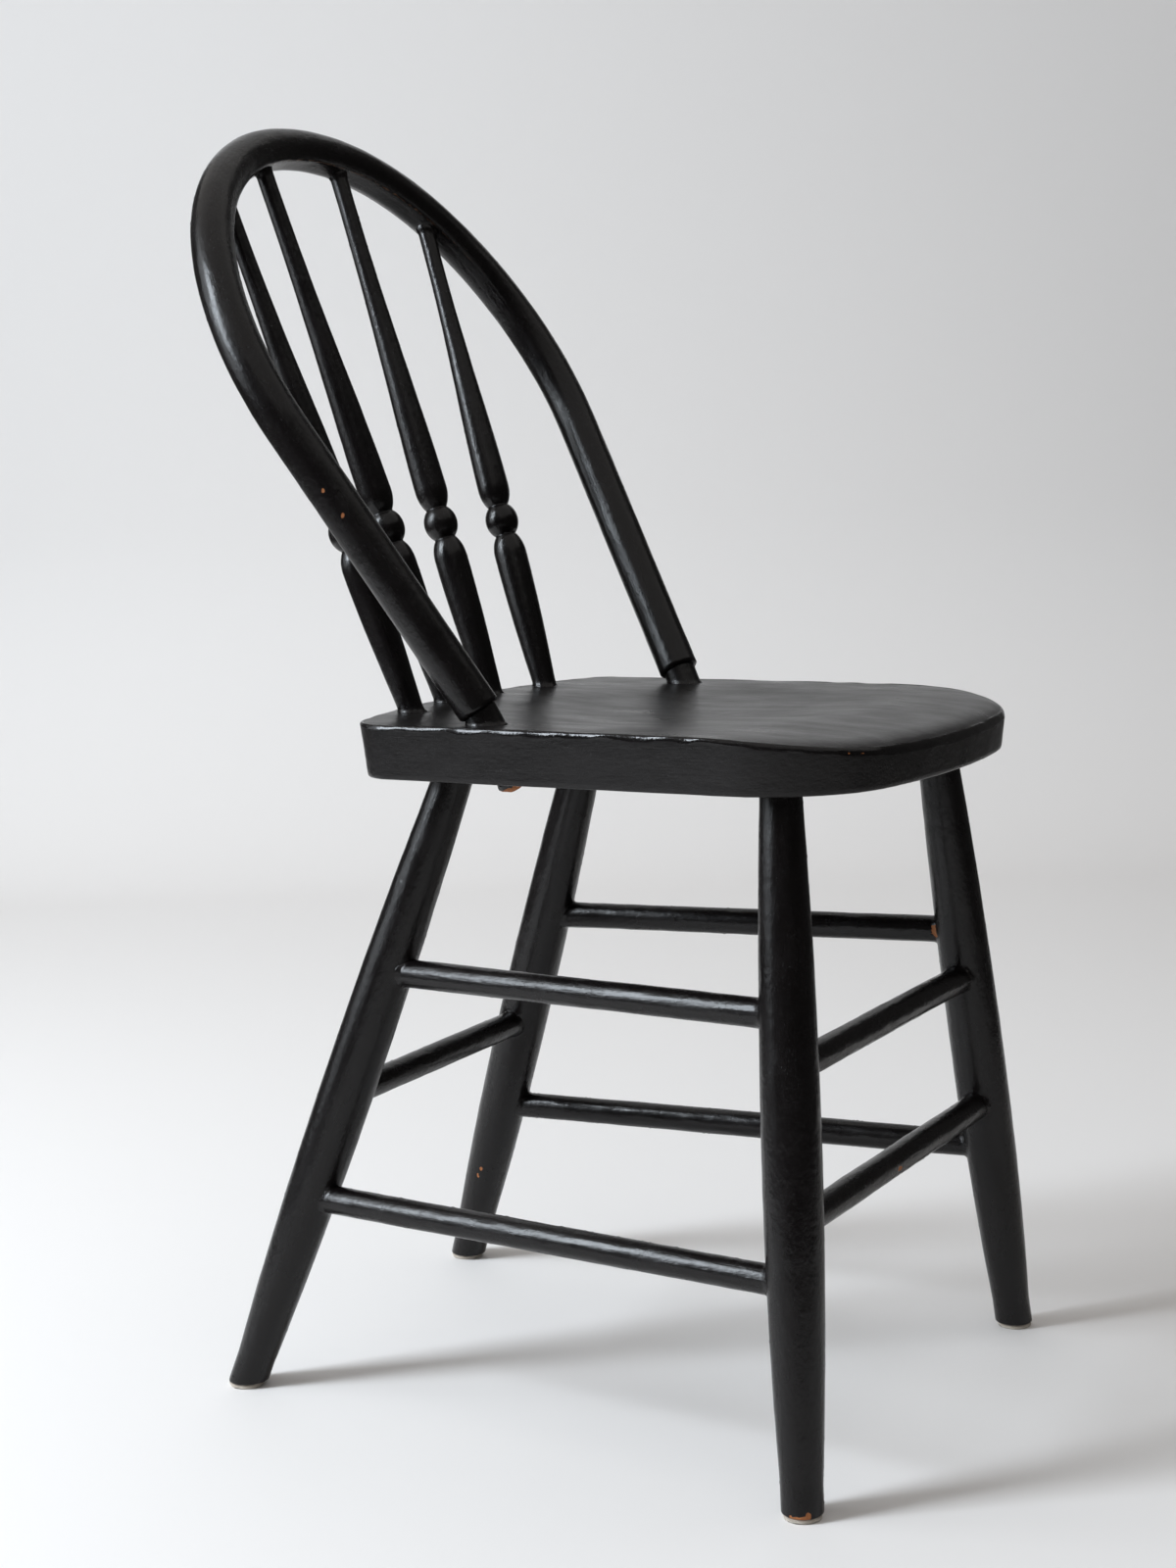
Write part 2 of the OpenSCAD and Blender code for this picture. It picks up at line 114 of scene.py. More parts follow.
# Bare and scuffed places, each with its half sizes. A leg's are measured from its foot, a
# stretcher's and the bow's are places in the room, and the seat's are x and y on its top.
LEG_CHIPS = {
    "leg_front_right": [
        ((-11 * MM, -4 * MM, 3 * MM), (4 * MM, 6.5 * MM, 2.4 * MM)),
        ((-9 * MM, -8 * MM, 4 * MM), (2 * MM, 2 * MM, 3 * MM)),
    ],
    "leg_rear_left": [
        ((-27 * MM, -31.5 * MM, 79 * MM), (1.3 * MM, 1.3 * MM, 1.8 * MM)),
        ((-26 * MM, -28 * MM, 72 * MM), (1.1 * MM, 1.1 * MM, 2.6 * MM)),
    ],
}
STRETCHER_CHIPS = {
    "stretcher_side_upper_left": [((127 * MM, -174 * MM, 283 * MM), (3 * MM, 4 * MM, 5 * MM))],
    "stretcher_front_lower": [((-16 * MM, -205.5 * MM, 162 * MM), (3 * MM, 2 * MM, 2 * MM))],
}
BOW_CHIPS = [
    ((-180 * MM, 93 * MM, 588.5 * MM), (0.9 * MM, 0.9 * MM, 1.5 * MM)),
    ((-175.5 * MM, 82.5 * MM, 573 * MM), (0.9 * MM, 0.9 * MM, 1.9 * MM)),
]
SEAT_CHIPS = [
    (-123 * MM, FRONT_Y + 21.7 * MM, (2.6 * MM, 2 * MM, 1.5 * MM)),
    (-115 * MM, FRONT_Y + 16.5 * MM, (2.2 * MM, 2 * MM, 1.5 * MM)),
    (-42 * MM, FRONT_Y + 1.7 * MM, (1.6 * MM, 2 * MM, 2 * MM)),
]

# Colours, as linear red, green and blue
BLACK, SEAT_BLACK = (0.0032, 0.0024, 0.0024), (0.0050, 0.0042, 0.0042)
WOOD_DARK, WOOD_PALE = (0.24, 0.075, 0.024), (0.44, 0.18, 0.065)
RUBBED_DARK, RUBBED_PALE = (0.055, 0.026, 0.014), (0.16, 0.075, 0.035)
# The felt's brown gathers in patches towards the top of each pad's edge, where the pad meets the foot
FELT_DARK, FELT_PALE, FELT_BROWN = (0.42, 0.38, 0.32), (0.62, 0.57, 0.50), (0.20, 0.12, 0.07)
STAGE_COLOUR, STAGE_ROUGH = (0.855, 0.83, 0.81), 0.7

# The camera: its place, and its turn from +X, its tilt down and its roll
FRONT_FEET_Y = (PAD_LOW.y + PAD_HIGH.y) / 2
CAMERA_PLACE = Vector((-1.43505, FRONT_FEET_Y - 0.58659, 0.61628))
CAMERA_YAW, CAMERA_PITCH, CAMERA_ROLL = (math.radians(angle) for angle in (29.59, 7.76, -1.59))
LENS, SENSOR_W = 58.35, 36
SHIFT_X, SHIFT_Y = 0.00066, -0.00073

# The stage runs from in front of the camera's view to the wall, and curves up into it
STAGE_START, WALL_AT, STAGE_HALF_W, STAGE_H = -1.8, 2.3, 1.15, 5.0
STAGE_BEND, STAGE_BEND_STEPS = 0.5, 24

# Each lamp's name, place, what it faces, width, height, power and colour
CHAIR_MIDDLE = (0, 0, 0.45)
LAMPS = [
    ("window", (-1.93, 1.80, 1.95), CHAIR_MIDDLE, 0.75, 1.8, 101, (0.84, 0.92, 1.0)),
    ("side", (-1.39, 2.01, 1.34), CHAIR_MIDDLE, 1.8, 2.2, 27, (0.90, 0.95, 1.0)),
    ("ceiling", (-0.9, 0.1, 3.4), (-0.9, 0.1, 0), 8.0, 8.0, 112, (1.0, 0.975, 0.95)),
]
WORLD_STRENGTH, WORLD_COLOUR = 0.06, (1.0, 0.985, 0.97)


# ---------------------------------------------------------------- noise and small helpers

LATTICE_N = 32
LATTICE = np.random.default_rng(11).random((LATTICE_N, LATTICE_N, LATTICE_N))


def value_noise(points, size, seed=0):
    """Smooth noise from 0 to 1 at points (n, 3), whose lumps are about size across."""
    p = points / size + 7.31 * seed
    cell = np.floor(p).astype(int)
    f = p - cell
    f = f * f * (3 - 2 * f)
    total = 0
    for dx in (0, 1):
        for dy in (0, 1):
            for dz in (0, 1):
                w = (
                    (f[:, 0] if dx else 1 - f[:, 0])
                    * (f[:, 1] if dy else 1 - f[:, 1])
                    * (f[:, 2] if dz else 1 - f[:, 2])
                )
                i, j, k = ((cell + (dx, dy, dz)) % LATTICE_N).T
                total = total + w * LATTICE[i, j, k]
    return total


def ramp(x, low, high):
    """0 below low, 1 above high, and smooth between."""
    t = np.clip((x - low) / (high - low), 0, 1)
    return t * t * (3 - 2 * t)


def smooth(y, steps):
    """A running average of y, with its ends kept."""
    if steps < 1:
        return y
    kernel = np.hanning(2 * steps + 3)[1:-1]
    kernel = kernel / kernel.sum()
    padded = np.concatenate([np.full(steps, y[0]), y, np.full(steps, y[-1])])
    return np.convolve(padded, kernel, "valid")


def cad_points(node):
    mesh = frame["nodes"][node].data
    co = np.zeros(len(mesh.vertices) * 3, np.float32)
    mesh.vertices.foreach_get("co", co)
    return co.reshape(-1, 3).astype(float)


def frame_along(a, b):
    """Two directions across the line from a to b, and the direction along it."""
    w = (b - a) / np.linalg.norm(b - a)
    u = np.cross(w, [0.0, 0.0, 1.0]) if abs(w[2]) < 0.9 else np.cross(w, [0.0, -1.0, 0.0])
    u = u / np.linalg.norm(u)
    return u, np.cross(w, u), w


class Turned:
    """A turned CAD solid: its axis from a to b, and its radius at each length t from a."""

    def __init__(self, node, foot=None):
        p = cad_points(node)
        mid = p.mean(0)
        w = np.linalg.svd(p - mid, full_matrices=False)[2][0]
        if w[2] < 0:
            w = -w
        t = (p - mid) @ w
        low = p[t < t.min() + 2 * MM]
        high = p[t > t.max() - 2 * MM]
        self.b = (high.min(0) + high.max(0)) / 2
        self.a = (low.min(0) + low.max(0)) / 2 if foot is None else np.array(foot)
        if foot is not None:
            self.b = high.mean(0)
        self.u, self.v, self.w = frame_along(self.a, self.b)
        t = (p - self.a) @ self.w
        r = np.linalg.norm((p - self.a) - np.outer(t, self.w), axis=1)
        key = np.round(t / (0.1 * MM)).astype(int)
        whole = [key == k for k in np.unique(key) if (key == k).sum() > 11]
        rings = [(t[ring].mean(), r[ring].max()) for ring in whole]
        self.t = np.array([k[0] for k in rings])
        self.r = np.array([k[1] for k in rings])
        self.t_min, self.t_max = t.min(), t.max()

    def radius(self, t, soften=0):
        return smooth(np.interp(t, self.t, self.r), soften)

    def gap(self, points):
        """How far points stand off its surface."""
        t = (points - self.a) @ self.w
        r = np.linalg.norm((points - self.a) - np.outer(t, self.w), axis=1)
        beyond = np.maximum(self.t_min - t, t - self.t_max)
        return np.where(beyond > 2 * MM, 1.0, r - np.interp(t, self.t, self.r))


# ---------------------------------------------------------------- the seat's and bow's forms


def arc(c, r, a0, a1, n):
    a = np.linspace(a0, a1, n)
    return np.stack([c[0] + r * np.cos(a), c[1] + r * np.sin(a)], 1)


def seat_end(edge_y, corner_r, bulge, sense, inset, n_corner, n_edge):
    """One end of the seat's outline, from its left side to its right."""
    end_r = (SEAT_HALF_W**2 + bulge**2) / (2 * bulge)
    corner_x = SEAT_HALF_W - corner_r
    centre_y = edge_y - sense * end_r
    rise = math.sqrt((end_r - corner_r) ** 2 - corner_x**2)
    turn = sense * math.atan2(rise, corner_x)
    corner_y = centre_y + sense * rise
    far = sense * math.pi
    return np.concatenate([
        arc((corner_x, corner_y), corner_r - inset, 0, turn, n_corner),
        arc((0, centre_y), end_r - inset, turn, far - turn, n_edge)[1:-1],
        arc((-corner_x, corner_y), corner_r - inset, far - turn, far, n_corner),
    ])


def seat_outline(inset):
    """The seat's outline, anticlockwise from the left side's rear end."""
    n_corner, n_edge, n_side = SEAT_COUNTS
    rear = seat_end(REAR_Y, REAR_CORNER, REAR_BULGE, 1, inset, n_corner, n_edge)
    front = seat_end(FRONT_Y, FRONT_CORNER, FRONT_BULGE, -1, inset, n_corner, n_edge)[::-1]
    s = np.linspace(0, 1, n_side)[1:-1, None]
    right_side = rear[-1] + (front[0] - rear[-1]) * s
    left_side = front[-1] + (rear[0] - front[-1]) * s
    return np.concatenate([rear, right_side, front, left_side])


def seat_height(x, y, inset=FRONT_ROUND_L):
    """The seat's top: a long roll down to the front edge, steeper near it, and a shallow hollow."""
    ahead = np.clip((FRONT_Y + ROLL_L - y) / ROLL_L, 0, 1.1) ** 2
    roll = (ROLL_DROP - FRONT_ROUND) * ahead
    near = np.clip(1 - inset / FRONT_ROUND_L, 0, 1) ** 2.2
    ball_r = (DISH_R**2 + DISH_DEPTH**2) / (2 * DISH_DEPTH)
    away = np.hypot(x, y - DISH_Y)
    dish = np.sqrt(np.maximum(ball_r**2 - away**2, 0)) - (ball_r - DISH_DEPTH)
    blend = 1.5 * MM
    close = np.clip(blend - np.abs(dish - roll), 0, blend)
    return SEAT_TOP - np.maximum(dish, roll) - close**2 / (4 * blend) - FRONT_ROUND * ahead * near


HAUNCH_R = BOW_HALF_W - HAUNCH_OFFSET
CROWN_R = HAUNCH_R + CROWN_EXTRA
CROWN_HALF = math.asin(HAUNCH_OFFSET / CROWN_EXTRA)
CROWN_Y = BOW_H - CROWN_R
HAUNCH = np.array([HAUNCH_OFFSET, CROWN_Y + CROWN_EXTRA * math.cos(CROWN_HALF)])
TO_HAUNCH = HAUNCH - [BOW_FOOT_X, 0]
LIMB_ANGLE = math.atan2(TO_HAUNCH[1], TO_HAUNCH[0]) - math.asin(HAUNCH_R / np.linalg.norm(TO_HAUNCH))
LIMB_L = math.sqrt(TO_HAUNCH @ TO_HAUNCH - HAUNCH_R**2)


def bow_half(step):
    """Places and outward angles of the bow's left half in its plane, from the shoulder up."""
    limb = np.arange(BOW_SHOULDER, LIMB_L, step)
    d = np.array([math.cos(LIMB_ANGLE), math.sin(LIMB_ANGLE)])
    straight = np.array([BOW_FOOT_X, 0]) + limb[:, None] * d
    a0, a1 = LIMB_ANGLE - math.pi / 2, math.pi / 2 - CROWN_HALF
    haunch_a = np.arange(a0, a1, step / HAUNCH_R)
    haunch = HAUNCH + HAUNCH_R * np.stack([np.cos(haunch_a), np.sin(haunch_a)], 1)
    crown_a = np.linspace(a1, math.pi / 2, max(2, int(CROWN_HALF * CROWN_R / step)))
    crown = np.array([0, CROWN_Y]) + CROWN_R * np.stack([np.cos(crown_a), np.sin(crown_a)], 1)
    places = np.concatenate([straight, haunch, crown])
    angles = np.concatenate([np.full(len(limb), a0), haunch_a, crown_a])
    return places, angles


def bow_path(step):
    """The whole bow's centre line in its plane, from the left shoulder to the right."""
    places, angles = bow_half(step)
    mirrored = places[-2::-1] * [-1, 1]
    return np.concatenate([places, mirrored]), np.concatenate([angles, math.pi - angles[-2::-1]])


UP_BOW = np.array([0, math.sin(BOW_RAKE), math.cos(BOW_RAKE)])
FRONT_OF_BOW = np.array([0, -math.cos(BOW_RAKE), math.sin(BOW_RAKE)])


def from_bow_plane(x, y, z=0.0):
    """A point of the bow's plane, z ahead of it, as a place in the room."""
    x, y, z = np.broadcast_arrays(x, y, z)
    base = np.array([0, BOW_FOOT_Y, SEAT_TOP])
    sideways = x[..., None] * np.array([1.0, 0, 0])
    return base + sideways + y[..., None] * UP_BOW + z[..., None] * FRONT_OF_BOW


BOW_LINE = from_bow_plane(*bow_path(BOW_LINE_STEP)[0].T)


def bow_gap(points):
    """How far points stand off the bow."""
    best = np.full(len(points), 1.0)
    for q in BOW_LINE:
        best = np.minimum(best, np.linalg.norm(points - q, axis=1))
    return best - BOW_R


def seat_top_gap(points):
    return points[:, 2] - seat_height(points[:, 0], points[:, 1])


def seat_bottom_gap(points):
    return SEAT_BOTTOM - points[:, 2]


# ---------------------------------------------------------------- brushed paint on a form


def paint_lumps(local, amount):
    """Old brushed paint: long runs along the grain, soft lumps, and a few hard nibs."""
    runs = value_noise(local / [1, 1, 9], 1.6 * MM, 3) - 0.5
    soft = value_noise(local / [1, 1, 2.2], 5 * MM, 5) - 0.5
    broad = value_noise(local / [1, 1, 3], 19 * MM, 7) - 0.5
    nibs = ramp(value_noise(local, 1.3 * MM, 9), 0.86, 0.99)
    return amount * (0.10 * runs + 0.16 * soft + 0.26 * broad + 0.22 * nibs) * MM


def collar(gap, local, height, width):
    """The ragged fillet of paint where one piece runs into another, height and width in mm."""
    wide = width * MM * (0.5 + 1.0 * value_noise(local, 2.6 * MM, 21))
    tall = height * MM * (0.35 + 1.2 * value_noise(local, 3.7 * MM, 23))
    near = np.clip(1 - np.maximum(gap, 0) / wide, 0, 1)
    return tall * near * near


def chip_field(points, chips):
    """1 at the middle of each chip, falling past 0 at its rim."""
    field = np.full(len(points), -1.0)
    for centre, size in chips:
        off = (points - np.array(centre)) / np.array(size)
        field = np.maximum(field, 1 - np.linalg.norm(off, axis=1))
    return field


def chipped(points, chips):
    """The bare patches on a form, with ragged rims, from -1 to 1."""
    if not chips:
        return np.full(len(points), -1.0)
    coarse = 0.9 * (value_noise(points, 1.7 * MM, 31) - 0.5)
    fine = 0.5 * (value_noise(points, 0.7 * MM, 33) - 0.5)
    return chip_field(points, chips) + (coarse + fine)


# ---------------------------------------------------------------- meshes


def grid_faces(rows, n):
    """Quads between rings of n points."""
    k, i = np.meshgrid(np.arange(rows - 1), np.arange(n), indexing="ij")
    j = (i + 1) % n
    quads = np.stack([k * n + i, k * n + j, (k + 1) * n + j, (k + 1) * n + i], -1)
    return quads.reshape(-1, 4).tolist()


def fan(ring, centre, flip):
    """Triangles from a ring of point numbers to one point."""
    n = len(ring)
    faces = [[ring[i], ring[(i + 1) % n], centre] for i in range(n)]
    return [f[::-1] for f in faces] if flip else faces


def closed_faces(rows, n):
    """Faces of rings of n points, fanned at both ends to the two points that follow the rings."""
    total = rows * n
    first, last = list(range(n)), list(range(total - n, total))
    return grid_faces(rows, n) + fan(first, total, True) + fan(last, total + 1, False)


def rounded_ends(radius, t, r):
    """The radii of rings at lengths t, less what a rounding of radius r takes off both ends."""
    for edge in (t - t[0], t[-1] - t):
        turn = np.clip(1 - edge / r, 0, 1)
        radius = radius - (r * (1 - np.sqrt(1 - turn**2)))[:, None]
    return radius


def add_layer(mesh, name, values):
    kind = "FLOAT_VECTOR" if values.ndim == 2 else "FLOAT"
    layer = mesh.attributes.new(name, kind, "POINT")
    layer.data.foreach_set("vector" if values.ndim == 2 else "value", values.astype(np.float32).ravel())


def make_piece(name, points, faces, material, slot, layers, nodes=None):
    mesh = bpy.data.meshes.new(name)
    mesh.from_pydata(points.tolist(), [], faces)
    mesh.validate()
    mesh.polygons.foreach_set("use_smooth", [True] * len(mesh.polygons))
    for key, values in layers.items():
        add_layer(mesh, key, values)
    mesh.materials.append(material)
    piece = bpy.data.objects.new(name, mesh)
    bpy.context.scene.collection.objects.link(piece)
    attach(piece, "root")
    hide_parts(*(nodes or [name.replace("_painted", "")]))
    return piece


def tube(turned, t, n, neighbours, chips=(), lumps=1.0, soften=0, seed=0, cap_round=0.0, foot_z=None):
    """A turned form as rings of n points at lengths t, with its paint: points, faces and layers.
    Each neighbour is how far points stand off it, and its collar's height and width in mm. With
    foot_z, the first ring is cut level at that height."""
    theta = np.linspace(0, 2 * math.pi, n, endpoint=False)
    out = np.outer(np.cos(theta), turned.u) + np.outer(np.sin(theta), turned.v)
    profile_t = np.linspace(turned.t_min, turned.t_max, 4000)
    profile_r = turned.radius(profile_t, soften)
    lengths = np.repeat(t[:, None], n, 1)
    if foot_z is not None:
        r0 = profile_r[len(profile_r) // 50]
        level = (foot_z - turned.a[2] - r0 * out[:, 2]) / turned.w[2]
        fade = 1 - ramp(t - t[0], 0, 40 * MM)
        lengths = lengths + (level - t[0])[None, :] * fade[:, None]
    radius = np.interp(lengths, profile_t, profile_r)
    if cap_round > 0:
        radius = rounded_ends(radius, t, cap_round)
    centre = turned.a + lengths[..., None] * turned.w
    base = (centre + radius[..., None] * out[None]).reshape(-1, 3)
    normal = np.broadcast_to(out[None], centre.shape).reshape(-1, 3)
    radius, around, along = radius.ravel(), np.tile(theta, len(t)), lengths.ravel()
    local = np.stack([radius * np.cos(around), radius * np.sin(around), along], 1) + 0.37 * seed
    rise = paint_lumps(local, lumps)
    for gap, height, width in neighbours:
        rise = rise + collar(gap(base), local, height, width)
    bare = chipped(base, chips)
    rise = rise - 0.25 * MM * ramp(bare, -0.05, 0.12)
    ends = np.stack([centre[0].mean(0), centre[-1].mean(0)])
    points = np.concatenate([base + normal * rise[:, None], ends])
    layers = {
        "grain": np.concatenate([local, local[[0, -1]]]),
        "bare": np.concatenate([bare, bare[[0, -1]]]),
        "worn": np.zeros(len(points)),
    }
    return points, closed_faces(len(t), n), layers


def spread(low, high, step, fine=()):
    """Lengths from low to high about step apart, closer where a fine (low, high, step) says."""
    t = [low]
    while t[-1] < high:
        here = step
        for a, b, s in fine:
            if a <= t[-1] < b:
                here = min(here, s)
        t.append(t[-1] + here)
    t[-1] = high
    return np.array(t)


# ---------------------------------------------------------------- materials


def nodes_of(name):
    material = bpy.data.materials.new(name)
    material.use_nodes = True
    tree = material.node_tree
    return material, tree, tree.nodes["Principled BSDF"]


def add(tree, kind, links=(), **values):
    """A node, its settings by name, its sockets by number as in_0, and links made to it."""
    node = tree.nodes.new(kind)
    for key, value in values.items():
        if key.startswith("in_"):
            node.inputs[int(key[3:])].default_value = value
        else:
            setattr(node, key, value)
    for source, socket in links:
        tree.links.new(source, node.inputs[socket])
    return node


def stretched_noise(tree, vector, scale, squash, detail, rough=0.55):
    """Noise drawn out along the grain."""
    mapping = add(tree, "ShaderNodeMapping", [(vector, 0)])
    mapping.inputs["Scale"].default_value = (1, 1, squash)
    noise = add(tree, "ShaderNodeTexNoise", [(mapping.outputs[0], "Vector")])
    noise.inputs["Scale"].default_value = scale
    noise.inputs["Detail"].default_value = detail
    noise.inputs["Roughness"].default_value = rough
    return noise.outputs["Fac"]


def remap(tree, value, a0, a1, b0, b1):
    node = add(tree, "ShaderNodeMapRange", [(value, "Value")])
    for key, number in (("From Min", a0), ("From Max", a1), ("To Min", b0), ("To Max", b1)):
        node.inputs[key].default_value = number
    return node.outputs[0]


def blend_colour(tree, factor, a, b):
    node = add(tree, "ShaderNodeMix", data_type="RGBA")
    tree.links.new(factor, node.inputs["Factor"])
    for value, socket in ((a, 6), (b, 7)):
        if isinstance(value, tuple):
            node.inputs[socket].default_value = (*value, 1)
        else:
            tree.links.new(value, node.inputs[socket])
    return node.outputs[2]


def sum_of(tree, *values):
    total = values[0]
    for value in values[1:]:
        total = add(tree, "ShaderNodeMath", [(total, 0), (value, 1)], operation="ADD").outputs[0]
    return total


def scaled(tree, value, factor):
    return add(tree, "ShaderNodeMath", [(value, 0)], operation="MULTIPLY", in_1=factor).outputs[0]


def bumped(tree, height, distance, strength, after=None):
    node = add(tree, "ShaderNodeBump", [(height, "Height")])
    node.inputs["Distance"].default_value = distance
    node.inputs["Strength"].default_value = strength
    if after is not None:
        tree.links.new(after, node.inputs["Normal"])
    return node.outputs[0]


def paint_material(name, streak, gloss_low, gloss_high, base):
    """Old black brush paint: brush streaks and orange peel under a soft gloss, chipped to bare wood."""
    material, tree, shader = nodes_of(name)
    grain = add(tree, "ShaderNodeAttribute", attribute_name="grain").outputs["Vector"]
    bare = add(tree, "ShaderNodeAttribute", attribute_name="bare").outputs["Fac"]
    worn = add(tree, "ShaderNodeAttribute", attribute_name="worn").outputs["Fac"]
    shine = add(tree, "ShaderNodeAttribute", attribute_name="shine").outputs["Fac"]
    streaks = stretched_noise(tree, grain, scale=950, squash=0.07, detail=3)
    peel = stretched_noise(tree, grain, scale=420, squash=0.6, detail=3)
    specks = stretched_noise(tree, grain, scale=1500, squash=0.9, detail=2)
    nibs = remap(tree, specks, 0.66, 0.78, 0, 1)
    patches = stretched_noise(tree, grain, scale=55, squash=0.4, detail=4)
    wood_lines = stretched_noise(tree, grain, scale=1100, squash=0.05, detail=4, rough=0.7)
    bare_mask = remap(tree, bare, 0.0, 0.10, 0, 1)
    scratches = stretched_noise(tree, grain, scale=800, squash=0.25, detail=4, rough=0.65)
    worn_rough = sum_of(tree, worn, scaled(tree, scratches, 0.9))
    worn_mask = remap(tree, worn_rough, 1.0, 1.16, 0, 1)
    paler = tuple(1.5 * c for c in base)
    black = blend_colour(tree, remap(tree, patches, 0.35, 0.7, 0, 1), base, paler)
    lines = remap(tree, wood_lines, 0.3, 0.75, 0, 1)
    wood = blend_colour(tree, lines, WOOD_DARK, WOOD_PALE)
    rubbed = blend_colour(tree, lines, RUBBED_DARK, RUBBED_PALE)
    colour = blend_colour(tree, worn_mask, black, rubbed)
    colour = blend_colour(tree, bare_mask, colour, wood)
    tree.links.new(colour, shader.inputs["Base Color"])
    gloss = remap(tree, patches, 0.3, 0.7, gloss_low, gloss_high)
    bare_rough, worn_rough = scaled(tree, bare_mask, 0.35), scaled(tree, worn_mask, 0.18)
    gloss = sum_of(tree, gloss, bare_rough, worn_rough, scaled(tree, shine, -0.18))
    tree.links.new(gloss, shader.inputs["Roughness"])
    shader.inputs["Specular IOR Level"].default_value = 0.30
    normal = bumped(tree, streaks, distance=0.00012, strength=streak)
    normal = bumped(tree, peel, distance=0.00026, strength=0.8, after=normal)
    normal = bumped(tree, nibs, distance=0.00022, strength=0.9, after=normal)
    tree.links.new(normal, shader.inputs["Normal"])
    return material


def felt_material():
    """Flattened wool felt, turning brown in uneven patches towards the top of its edge."""
    material, tree, shader = nodes_of("felt")
    grain = add(tree, "ShaderNodeAttribute", attribute_name="grain").outputs["Vector"]
    worn = add(tree, "ShaderNodeAttribute", attribute_name="worn").outputs["Fac"]
    hairs = stretched_noise(tree, grain, scale=1700, squash=1.0, detail=4, rough=0.7)
    clumps = stretched_noise(tree, grain, scale=260, squash=1.0, detail=3)
    edge_browning = sum_of(tree, worn, scaled(tree, clumps, 0.8))
    pale = blend_colour(tree, hairs, FELT_DARK, FELT_PALE)
    colour = blend_colour(tree, remap(tree, edge_browning, 0.8, 1.6, 0, 0.6), pale, FELT_BROWN)
    tree.links.new(colour, shader.inputs["Base Color"])
    shader.inputs["Roughness"].default_value = 0.95
    shader.inputs["Sheen Weight"].default_value = 0.3
    normal = bumped(tree, hairs, distance=0.0004, strength=0.8)
    tree.links.new(normal, shader.inputs["Normal"])
    return material


def stage_material():
    material, _, shader = nodes_of("stage")
    shader.inputs["Base Color"].default_value = (*STAGE_COLOUR, 1)
    shader.inputs["Roughness"].default_value = STAGE_ROUGH
    shader.inputs["Specular IOR Level"].default_value = 0.3
    return material


# ---------------------------------------------------------------- the pieces


def make_legs(paint, turned, stretchers):
    """Four legs, each with its bare patches and scuffs at the foot."""
    for k, name in enumerate(LEGS):
        leg = turned[name]
        joints = [(stretchers[s].gap, 0.9, 2.0) for s, pair in STRETCHERS.items() if name in pair]
        chips = [(leg.a + np.array(c), size) for c, size in LEG_CHIPS.get(name, [])]
        t = spread(0, leg.t_max - 2 * MM, LEG_STEP, [(0, 6 * MM, LEG_FOOT_STEP)])
        piece = tube(
            leg, t, LEG_SIDES, [(seat_bottom_gap, 0.8, 2.2)] + joints, chips,
            lumps=1.3, soften=40, seed=k + 1, cap_round=1.2 * MM, foot_z=FOOT_Z,
        )
        make_piece(name + "_painted", *piece[:2], paint, "black_paint", piece[2])


def make_stretchers(paint, turned, stretchers):
    """Seven stretchers, lumpy with paint, and gathered into a collar at each leg."""
    for k, (name, pair) in enumerate(STRETCHERS.items()):
        bar = stretchers[name]
        legs = [(turned[leg].gap, 1.0, 2.6) for leg in pair]
        chips = STRETCHER_CHIPS.get(name, [])
        t = spread(bar.t_min, bar.t_max, STRETCHER_STEP)
        piece = tube(bar, t, STRETCHER_SIDES, legs, chips, lumps=1.7, seed=11 + k)
        make_piece(name + "_painted", *piece[:2], paint, "black_paint", piece[2])


def make_spindles(paint, spindles):
    """Four turned spindles, with paint in the necks and round both ends."""
    for k, name in enumerate(SPINDLES):
        spindle = spindles[name]
        beads = [(120 * MM, 175 * MM, SPINDLE_BEAD_STEP)]
        t = spread(spindle.t_min, spindle.t_max, SPINDLE_STEP, beads)
        ends = [(seat_top_gap, 1.1, 2.6), (bow_gap, 0.7, 1.8)]
        piece = tube(spindle, t, SPINDLE_SIDES, ends, soften=6, seed=31 + k)
        make_piece(name + "_painted", *piece[:2], paint, "black_paint", piece[2])


def bow_section_radius(phi, flat):
    """Distance from the bow's centre line to its surface: round outside, flat inside, crisp edges."""
    toward = np.maximum(np.cos(phi - math.pi), 1e-6)
    beyond = (toward[None] * BOW_R / flat[:, None]) ** BOW_EDGE_POWER
    return BOW_R * (1 + beyond) ** (-1 / BOW_EDGE_POWER)


